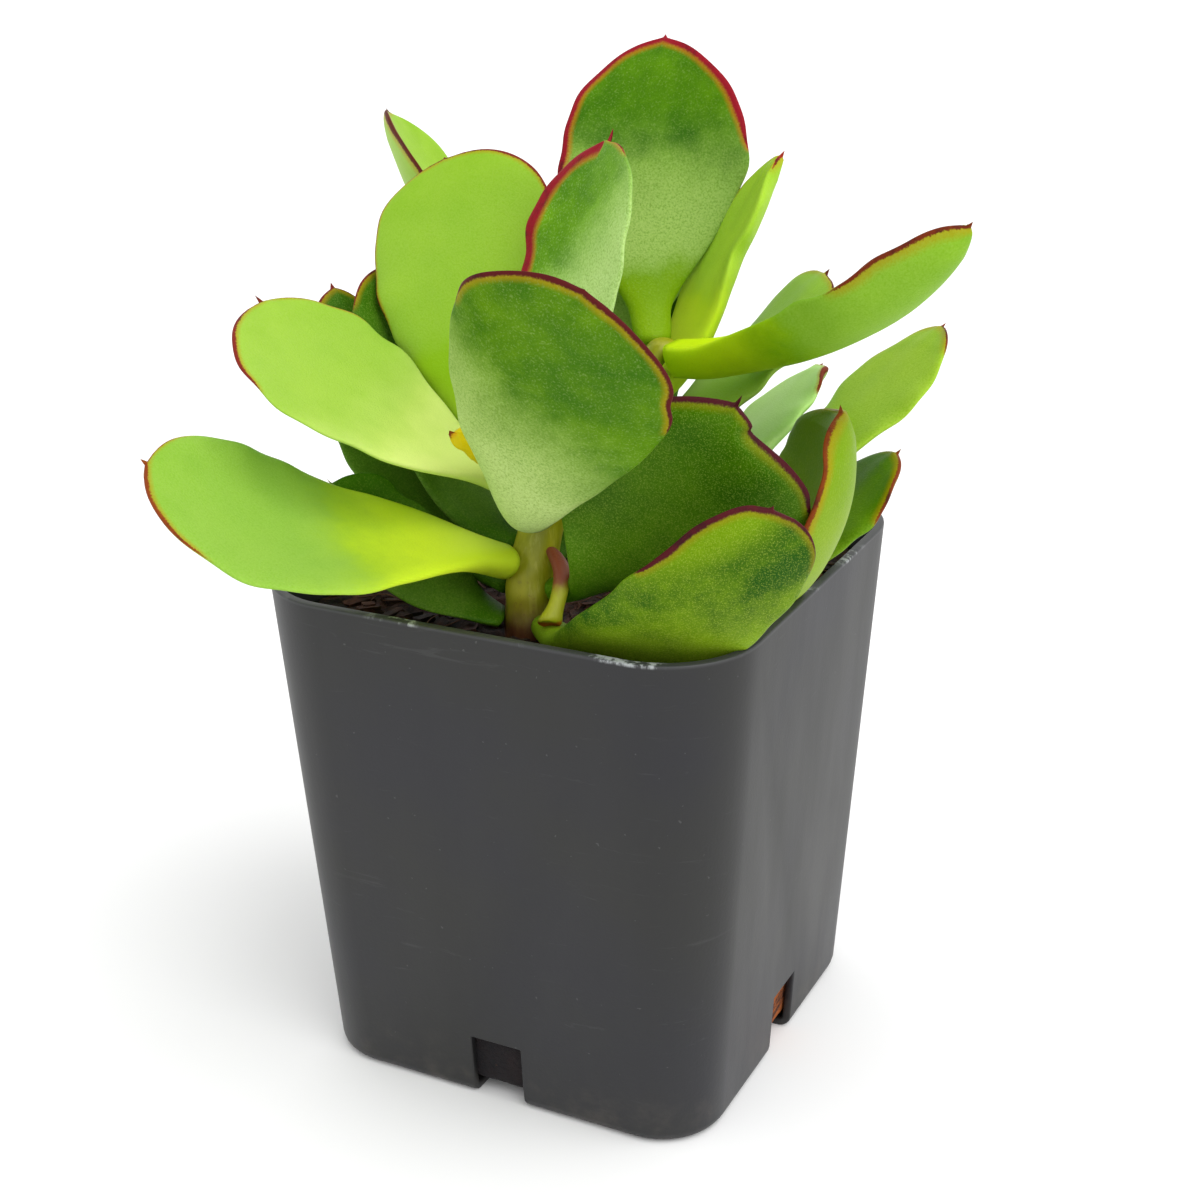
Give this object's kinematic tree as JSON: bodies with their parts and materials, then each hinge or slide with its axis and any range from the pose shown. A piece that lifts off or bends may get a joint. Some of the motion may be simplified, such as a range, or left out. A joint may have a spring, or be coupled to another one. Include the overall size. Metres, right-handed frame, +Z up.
{
  "type": "potted cotyledon",
  "caption": "Small potted succulent: short stems of broad, fleshy, pointed leaves with red edges, in a square tapered nursery pot with drain slots.",
  "frame": {"origin": "middle of the pot's underside, on the surface that it stands on", "axes": "+Z up the pot, -Y out of the pot's front side, +X out of its right side; the pot's sides face X and Y"},
  "size_m": [0.0785, 0.0771, 0.1138],
  "materials": {
    "pot_plastic": "satin moulded",
    "potting_soil": "loose bark and coir, matte",
    "stem_skin": "smooth living skin, satin",
    "stump_skin": "drying skin, satin",
    "leaf_skin": "waxy, with a pale bloom"
  },
  "bodies": {
    "root": {"pot": "pot_plastic", "soil": "potting_soil", "main_stem": "stem_skin", "side_stem": "stem_skin", "petiole_stump": "stump_skin", "leaf_broad_left": "leaf_skin", "leaf_broad_right": "leaf_skin", "leaf_crown_back": "leaf_skin", "leaf_crown_front": "leaf_skin", "leaf_crown_narrow": "leaf_skin", "leaf_crown_right": "leaf_skin", "leaf_crown_top": "leaf_skin", "leaf_front_upright": "leaf_skin", "leaf_low_back": "leaf_skin", "leaf_low_back_left": "leaf_skin", "leaf_low_front": "leaf_skin", "leaf_low_left": "leaf_skin", "leaf_low_shaded": "leaf_skin", "leaf_mid_back": "leaf_skin", "leaf_mid_back_left": "leaf_skin", "leaf_mid_left": "leaf_skin", "leaf_mid_right": "leaf_skin", "leaf_tall_back_left": "leaf_skin", "leaf_young_left": "leaf_skin", "side_leaf_back": "leaf_skin", "side_leaf_folded": "leaf_skin", "side_leaf_long": "leaf_skin", "side_leaf_low": "leaf_skin"}
  },
  "joints": []
}
